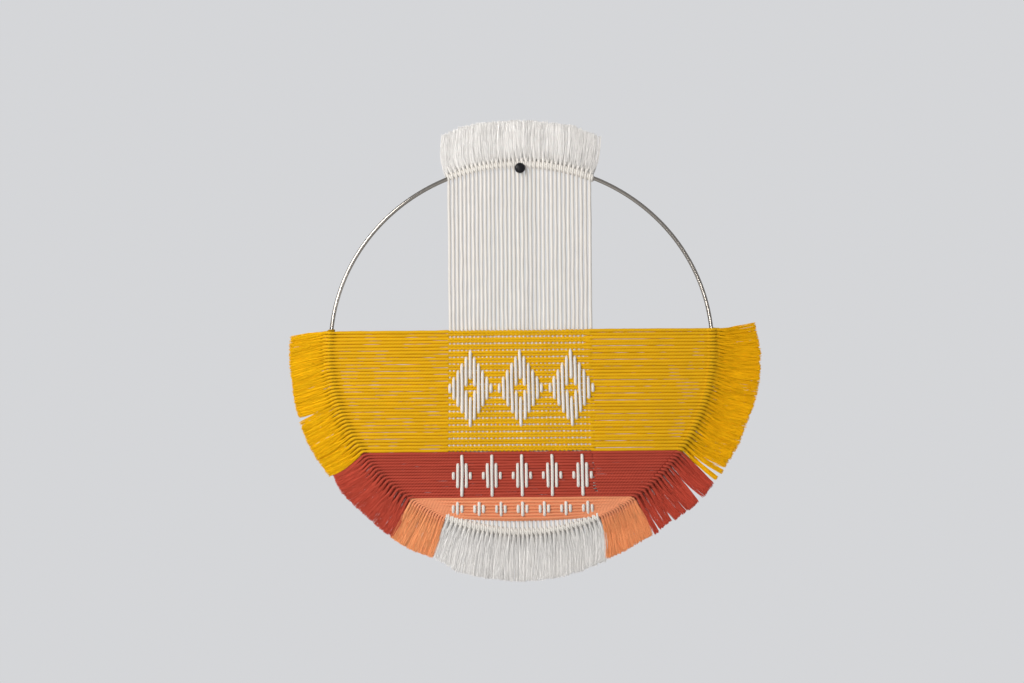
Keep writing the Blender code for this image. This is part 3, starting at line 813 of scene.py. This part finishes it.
def wander(rng, size):
    """Slow uneven drift of a yarn, as a function of the distance along it."""
    waves = [(rng.uniform(*WAVE_SHARES) * size, rng.uniform(*WAVE_LENGTHS) * MM, rng.uniform(0, 2 * math.pi))
             for _ in range(WAVES)]
    return lambda distance: sum(high * math.sin(2 * math.pi * distance / long + start)
                                for high, long, start in waves) / 2


def end_points(turn, inner, layer, thick, tone):
    """A yarn's end over the wire, from inside to outside, for a yarn that comes in at its layer's depth."""
    points = []
    for step in YARN_END:
        y = mix(layer, HOOP_Y - step["front"], step.get("forward", 1.0))
        points.append({"place": by_wire(turn, inner, step, y), "thick": thick * step["thick"], "tone": tone})
    return points


def pressed_back(floats, x, z):
    """How far the floats of warps at x press a weft back, at a height."""
    return sum(PRESSED_BACK for place, stretches in floats
               if abs(place - x) < WARP_PITCH / 2 and any(low < z < high for high, low in stretches))


def weft_lines(name):
    """Every weft of a band, from its left knot to its right one."""
    band = BANDS[name]
    thick = YARNS[name]["thick"]
    rng = random.Random(band["yarns"])
    floats = [(warp_x(warp, sum(band["mid"]) / 2), floats_of(warp)) for warp in range(WARP_COUNT)]
    lines = []
    for yarn in range(band["yarns"]):
        tone = rng.uniform(-YARN_TONE, YARN_TONE)
        if yarn % band["bundle"] == 0:
            tightness = rng.uniform(*TIGHTNESS)
        drift, swing = wander(rng, DRIFT["weft"]), wander(rng, SWING["weft"])
        left, right = (knot_middles(name + side)[yarn] for side in ("_left", "_right"))
        turn_about = 1 if yarn % 2 else -1
        (end_x, _), _ = hoop_frame(right)
        inside = end_x - WEFT_END
        line = []
        for x, on_warp in weft_stations(weft_height(name, yarn, 0.0), inside):
            z = weft_height(name, yarn, x)
            size = 1.0
            if band["bundle"] > 1:
                z += turn_about * paired(CLOSING, x, on_warp * tightness)
                size = paired(PAIR_THICKNESS, x, on_warp)
            free = ease((inside - abs(x)) / WEFT_STEADY)
            y = WEFT_Y + band["stagger"] * turn_about * free + pressed_back(floats, x, z) + swing(x)
            line.append({"place": in_row(x, y, z + drift(x) * free), "thick": thick * size, "tone": tone})
        start = end_points(left, (1, 0), WEFT_Y, thick, tone)
        end = end_points(right, (-1, 0), WEFT_Y, thick, tone)
        lines.append(list(reversed(start)) + line + end)
    return lines


def warp_depth(z, stretches, gaps):
    """Depth of a warp's middle behind the wefts, in front of them in a float, and out between bundles."""
    for high, low in stretches:
        if low < z < high:
            return FLOAT_Y
    if z > BAND_TOP:
        return mix(WARP_AT_WIRE_Y, WARP_Y, ease((HALF_HEIGHT - z) / WARP_DIVE))
    showing = z > RED_TOP and any(abs(z - gap) < NEAR_GAP for gap in gaps)
    return WARP_Y - (SHOWING_THROUGH if showing else 0.0)


def warp_lines():
    """Every warp, from its top knot to its bottom one."""
    thick = YARNS["white"]["thick"]
    rng = random.Random(WARP_COUNT)
    tops, bottoms = knot_middles("white_top"), knot_middles("white_bottom")
    lines = []
    for warp in range(WARP_COUNT):
        tone = rng.uniform(-YARN_TONE, YARN_TONE)
        drift, swing = wander(rng, DRIFT["warp"]), wander(rng, SWING["warp"])
        (_, high), _ = hoop_frame(tops[warp])
        (_, low), _ = hoop_frame(bottoms[warp])
        stretches = floats_of(warp)
        gaps = bundle_gaps(warp)
        start_z, band_z = high - WARP_START, BAND_TOP + WARP_ABOVE_BAND
        heights = {mix(start_z, band_z, i / WARP_STEPS) for i in range(WARP_STEPS + 1)}
        crossings = gaps + [(above + below) / 2 for above, below in zip(gaps, gaps[1:])]
        heights.update(z for z in crossings if z > low + WARP_END)
        line = []
        for z in sorted(heights, reverse=True):
            free = min(1.0, (high - z) / WARP_STEADY, (z - low) / WARP_STEADY)
            x = warp_x(warp, z) + drift(z) * max(0.0, free)
            y = warp_depth(z, stretches, gaps) + swing(z)
            line.append({"place": in_row(x, y, z), "thick": thick, "tone": tone})
        start = end_points(tops[warp], (0, -1), HOOP_Y, thick, tone)
        end = end_points(bottoms[warp], (0, 1), HOOP_Y, thick, tone)
        lines.append(list(reversed(start)) + line + end)
    return lines


# Pieces

def add_piece(piece, slot, *nodes):
    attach(piece, BODY)
    if nodes:
        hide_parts(*nodes)
    return piece


def grow_yarn(name, lines, material, rings, sides=YARN_SIDES, unevenness=UNEVENNESS):
    return grow(name, lines_object(lines), YARN_TREE, {
        "Ring spacing": rings, "Sides": sides, "Unevenness": unevenness, "Material": material})


def knot_pattern(name):
    """Slanted turns of yarn round the wire: its own x runs along the wire, y out and z to the front."""
    look = KNOT_LOOKS[name]
    steps = KNOT_STEPS * look["turns"]
    around = WIRE_RADIUS + KNOT_PRESSED * look["thick"]
    points = []
    for i in range(steps + 1):
        angle = mix(-0.5 * math.pi, (2 * look["turns"] - 0.5) * math.pi, i / steps)
        lean = KNOT_WIDTH * mix(*KNOT_SLANT, i / steps)
        points.append({"place": (lean, around * math.cos(angle), around * math.sin(angle)),
                       "thick": look["thick"], "tone": look["tone"]})
    return grow_yarn("knot_pattern_" + name, [points], None, look["rings"], KNOT_SIDES, 0.0)


def build_knots(name, pattern, material):
    """A row of knots round the wire at a fringe."""
    rng = random.Random(len(name))
    turns = knot_turns(name)
    points = []
    for here, after in zip(turns, turns[1:]):
        (x, z), out = hoop_frame((here + after) / 2)
        start, end = hoop_frame(here)[0], hoop_frame(after)[0]
        width = math.dist(start, end)
        tilt = math.radians(rng.uniform(-KNOT_TILT, KNOT_TILT))
        way = (end[0] - start[0], end[1] - start[1])
        size = math.hypot(*way)
        if way[1] * out[0] > way[0] * out[1]:
            size = -size
        points.append({
            "place": in_row(x, HOOP_Y, z), "way": (way[0] / size, math.sin(tilt), way[1] / size),
            "out": (out[0], 0.0, out[1]), "size": (width / KNOT_WIDTH, 1.0, rng.uniform(*KNOT_HEIGHTS)),
            "tone": rng.uniform(-KNOT_TONE, KNOT_TONE)})
    knots = lines_object([[point] for point in points])
    return grow("knots_" + name, knots, KNOT_TREE, {"Knot": pattern, "Material": material})


def build_returns(name, material):
    """The tapered back half of each knot, behind the gaps between a band's yarns just inside the wire,
    darkened with painted shade.
    """
    inner = (1 if name.endswith("left") else -1, 0)
    lines = []
    for turn in knot_turns(name)[1:-1]:
        lines.append([{"place": by_wire(turn, inner, step, HOOP_Y + step["behind"]), "thick": step["thick"],
                       "tone": RETURN_SHADE_TONE} for step in RETURN])
    return grow_yarn("returns_" + name, lines, material, RETURN_RINGS, KNOT_SIDES, RETURN_UNEVENNESS)


def lock_line(root, way, tip, opening, strands, y, spread, tone):
    """Guide line of a lock: out from the wire, then bending to its tip, and opening between two shares
    of its length. Its y, spread and tone are pairs of values, at the root and at the tip."""
    length = math.dist(root, tip)
    bend = tuple(root[axis] + LOCK_BEND * length * way[axis] for axis in (0, 1))
    line = []
    for i in range(LOCK_STATIONS):
        t = i / (LOCK_STATIONS - 1)
        x, z = (mix(mix(root[axis], bend[axis], t), mix(bend[axis], tip[axis], t), t) for axis in (0, 1))
        opened = ease((t - opening[0]) / (opening[1] - opening[0]))
        line.append({"place": in_row(x, mix(*y, ease(t * LOCK_SETTLING)), z), "spread": mix(*spread, opened),
                     "depth": mix(ROPE_RADIUS, OPEN_DEPTH, opened), "strands": float(strands),
                     "tone": mix(*tone, opened)})
    return line


def build_locks(name, material):
    """Every combed yarn end of a fringe, as a rope that opens into strands, over fewer ones behind."""
    rng = random.Random(len(name) * 7 + 1)
    fringe = FRINGES[name]
    look = ROOT_LOOKS[look_of(fringe["yarn"])]
    opening = fringe.get("opening", OPENING)
    tips = lock_tips(name)
    turns = knot_middles(name)
    lines = []
    for knot, turn in enumerate(turns):
        (x, z), out = hoop_frame(turn)
        size = math.hypot(out[0], out[1] - look["droop"])
        way = (out[0] / size, (out[1] - look["droop"]) / size)
        others = [n for n in (knot - 1, knot + 1) if 0 <= n < len(turns)]
        pitch = sum(math.dist((x, z), hoop_frame(turns[n])[0]) for n in others) / len(others)
        mates = [n for n in others if max(n, knot) not in fringe.get("parted", ())]
        spacing = LONE_LOCK_SPREAD * pitch
        if mates:
            spacing = sum(math.dist(tips[knot], tips[n]) for n in mates) / len(mates)
        spread = LOCK_SPREAD * spacing
        # A fringe's own tone is painted shade
        tone = rng.uniform(-LOCK_TONE, LOCK_TONE) + fringe.get("tone", 0.0)
        tip_y = HOOP_Y + rng.uniform(-TIP_WANDER, TIP_WANDER)
        rope_root, fill_root = ((x + out[0] * layer["root"], z + out[1] * layer["root"])
                                for layer in (ROPE, FILL))
        lines.append(lock_line(rope_root, way, tips[knot], opening, ROPE["strands"], (ROPE["y"], tip_y),
                               (ROPE_RADIUS, spread), (tone, tone)))
        # The fill is darkened with painted shadow at its root and painted shade at its tip
        lines.append(lock_line(fill_root, way, tips[knot], opening, FILL["strands"],
                               (FILL["y"], tip_y + FILL["behind"]), (FILL["pitches"] * pitch, spread),
                               (tone + look["shadow"], tone + FILL["tone"])))
    return grow("locks_" + name, lines_object(lines), FRINGE_TREE, {
        **STRANDS, "Seed": len(name), "Material": material})


def build_ring(material):
    seed = link_object("seed", bpy.data.meshes.new("seed"))
    return grow("hoop_wire", seed, RING_TREE, {
        "Steps": RING_STEPS, "Sides": RING_SIDES, "Wire radius": WIRE_RADIUS,
        "Half sizes": (HALF_WIDTH, HALF_HEIGHT, 1.0), "Middle": (0.0, HOOP_Y, HOOP_Z), "Material": material})


def lathe(name, profile, material, sides):
    """Turn (radius, depth) points round the pin's own line, which runs along Y."""
    bm = bmesh.new()
    points = [bm.verts.new((radius, y, 0.0)) for radius, y in profile]
    edges = [bm.edges.new(pair) for pair in zip(points, points[1:])]
    bmesh.ops.spin(bm, geom=points + edges, cent=(0, 0, 0), axis=(0, 1, 0), angle=2 * math.pi, steps=sides)
    bmesh.ops.remove_doubles(bm, verts=bm.verts, dist=MERGE_DISTANCE)
    bmesh.ops.recalc_face_normals(bm, faces=bm.faces)
    mesh = bpy.data.meshes.new(name)
    bm.to_mesh(mesh)
    bm.free()
    mesh.materials.append(material)
    mesh.shade_smooth()
    mesh.set_sharp_from_angle(angle=SHARP_EDGE)
    return link_object(name, mesh)


def build_pin(enamel, steel):
    """Domed head with a low ring on its front, and a pointed steel shank."""
    back = pin_low.y + HEAD_HEIGHT
    angles = [math.pi / 2 * i / DOME_STEPS for i in range(DOME_STEPS + 1)]
    dome = [(HEAD_RADIUS * math.sin(angle),
             back - HEAD_HEIGHT * mix(DOME_EDGE, 1.0, math.cos(angle))) for angle in angles]
    ringed = []
    for radius, y in dome:
        across = (radius / HEAD_RADIUS - DOME_RING["at"]) / DOME_RING["width"]
        ringed.append((radius, y + DOME_RING["rise"] * math.exp(-across ** 2)))
    rim = [(HEAD_RADIUS, back - RIM_EDGE * HEAD_HEIGHT), (RIM_BACK_RADIUS * HEAD_RADIUS, back), (0.0, back)]
    head = lathe("pin_head", ringed + rim, enamel, HEAD_SIDES)
    top = back - SHANK_IN_HEAD
    shank = lathe("pin_shank", (
        (0.0, top), (SHANK_RADIUS, top), (SHANK_RADIUS, pin_high.y - SHANK_POINT),
        (SHANK_SHOULDER["radius"] * SHANK_RADIUS, pin_high.y - SHANK_SHOULDER["from_tip"] * SHANK_POINT),
        (0.0, pin_high.y)), steel, SHANK_SIDES)
    return head, shank


# Stage

def build_camera():
    data = bpy.data.cameras.new("camera")
    data.lens = CAMERA_LENS
    data.sensor_width = CAMERA_SENSOR
    camera = link_object("camera", data)
    place = Matrix.Translation((CAMERA_AT[0], HOOP_Y - CAMERA_AWAY, CAMERA_AT[1]))
    camera.matrix_world = place @ Matrix.Rotation(CAMERA_ROLL, 4, "Y") @ Matrix.Rotation(math.pi / 2, 4, "X")
    bpy.context.scene.camera = camera


def add_light(name, place, aim, size, power, colour):
    data = bpy.data.lights.new(name, "AREA")
    data.shape = "DISK"
    data.size = size
    data.energy = power
    data.color = colour
    light = link_object(name, data)
    light.location = place
    way = Matrix.Translation(aim).translation - Matrix.Translation(place).translation
    light.rotation_euler = way.to_track_quat("-Z", "Y").to_euler()


def build_sky():
    """Pale even surroundings, which light the object less than the camera sees."""
    world = bpy.data.worlds.new("studio")
    world.use_nodes = True
    tree = world.node_tree
    seen = add_node(tree, "ShaderNodeLightPath", {}).outputs["Is Camera Ray"]
    strength = add_node(tree, "ShaderNodeMapRange", {"Value": seen, "To Min": SKY_LIGHT, "To Max": 1.0})
    connect(tree, tree.nodes["Background"], {"Color": (*SKY, 1.0), "Strength": strength})
    bpy.context.scene.world = world
    bpy.context.scene.view_settings.view_transform = "Standard"


def floor_material():
    """Pale floor that fades into the sky's colour away from the object."""
    material, tree, shader = new_material("pale_floor")
    connect(tree, shader, {"Base Color": (*FLOOR_COLOUR, 1.0), "Roughness": 0.9})
    place = add_node(tree, "ShaderNodeTexCoord", {}).outputs["Object"]
    away = vector_node(tree, "LENGTH", place).outputs["Value"]
    fade = add_node(tree, "ShaderNodeMapRange", {
        "Value": away, "From Min": FLOOR_FADE[0], "From Max": FLOOR_FADE[1]}, interpolation_type="SMOOTHSTEP")
    glow = add_node(tree, "ShaderNodeEmission", {"Color": (*SKY, 1.0)})
    both = add_node(tree, "ShaderNodeMixShader", {0: fade, 1: shader, 2: glow})
    connect(tree, tree.nodes["Material Output"], {"Surface": both})
    return material


def build_floor():
    """A round floor well below the object."""
    bm = bmesh.new()
    bmesh.ops.create_circle(bm, cap_ends=True, radius=FLOOR_RADIUS, segments=FLOOR_SIDES)
    bmesh.ops.translate(bm, verts=bm.verts, vec=(0, 0, FLOOR_Z))
    mesh = bpy.data.meshes.new("floor")
    bm.to_mesh(mesh)
    bm.free()
    mesh.materials.append(floor_material())
    link_object("floor", mesh)


build_camera()
build_sky()
build_floor()
for name, light in LIGHTS.items():
    add_light(name, **light)

YARN_TREE = yarn_tree()
KNOT_TREE = knot_tree()
FRINGE_TREE = fringe_tree()
RING_TREE = ring_tree()
plied = {name: plied_material(name) for name in YARNS}
combed = {name: combed_material(name) for name in YARNS}
steel = steel_material()

add_piece(build_ring(steel), "hoop_steel", "hoop")
pin_head, pin_shank = build_pin(enamel_material(), steel)
add_piece(pin_head, "pin_black", "wall_pin")
add_piece(pin_shank, "pin_black")

patterns = {look: knot_pattern(look) for look in KNOT_LOOKS}
fringes = {name: [] for name in YARNS}
for name, fringe in FRINGES.items():
    yarn = fringe["yarn"]
    slot = "yarn_" + yarn
    locks = add_piece(build_locks(name, combed[yarn]), slot, "fringe_" + name)
    knots = add_piece(build_knots(name, patterns[look_of(yarn)], plied[yarn]), slot)
    fringes[yarn] += [locks, knots]
    if yarn != "white":
        fringes[yarn].append(add_piece(build_returns(name, plied[yarn]), slot))
for pattern in patterns.values():
    bpy.data.objects.remove(pattern)

warps = grow_yarn("warp_yarns", warp_lines(), plied["white"], WARP_RINGS)
add_piece(warps, "yarn_white", "warp_curtain")
for name, band in BANDS.items():
    wefts = grow_yarn("weft_yarns_" + name, weft_lines(name), plied[name], band["rings"])
    add_piece(wefts, "yarn_" + name, "weft_" + name)
